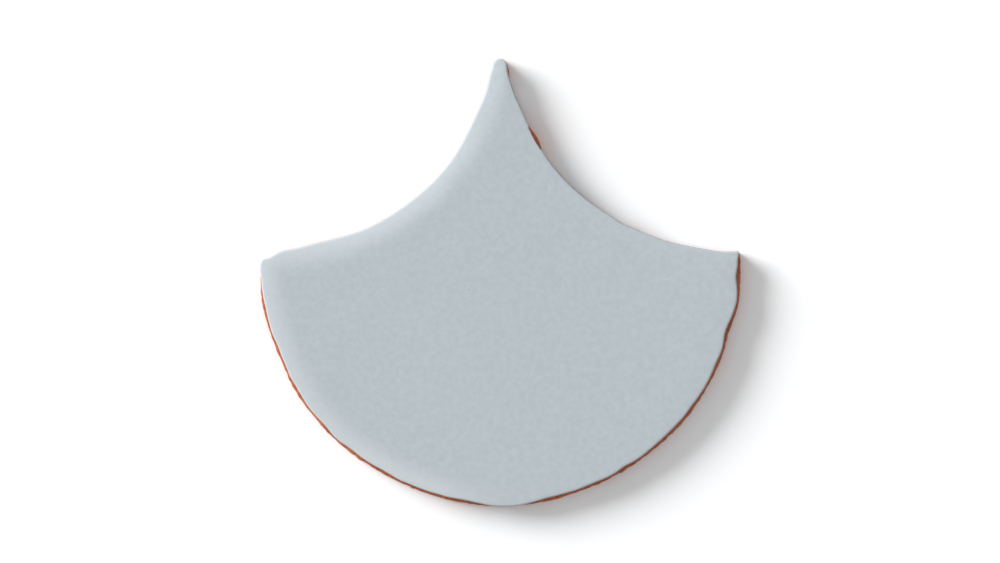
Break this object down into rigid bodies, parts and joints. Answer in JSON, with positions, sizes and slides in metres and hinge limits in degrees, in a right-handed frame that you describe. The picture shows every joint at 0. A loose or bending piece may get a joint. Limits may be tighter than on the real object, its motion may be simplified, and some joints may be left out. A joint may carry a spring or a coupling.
{
  "type": "ogee ceramic tile",
  "caption": "Flat glazed clay tile with a semicircular end and hollow flanks that sweep up to a point, shaped to nest with its neighbours in an ogee pattern.",
  "frame": {"origin": "on the flat back of the tile, under the centre of its round end", "axes": "+Z out of the glazed face, +Y from the round end to the point, +X across the tile"},
  "size_m": [0.1524, 0.1414, 0.0095],
  "materials": {
    "glaze": "satin"
  },
  "bodies": {
    "root": {"ogee_tile": "glaze"}
  },
  "joints": []
}
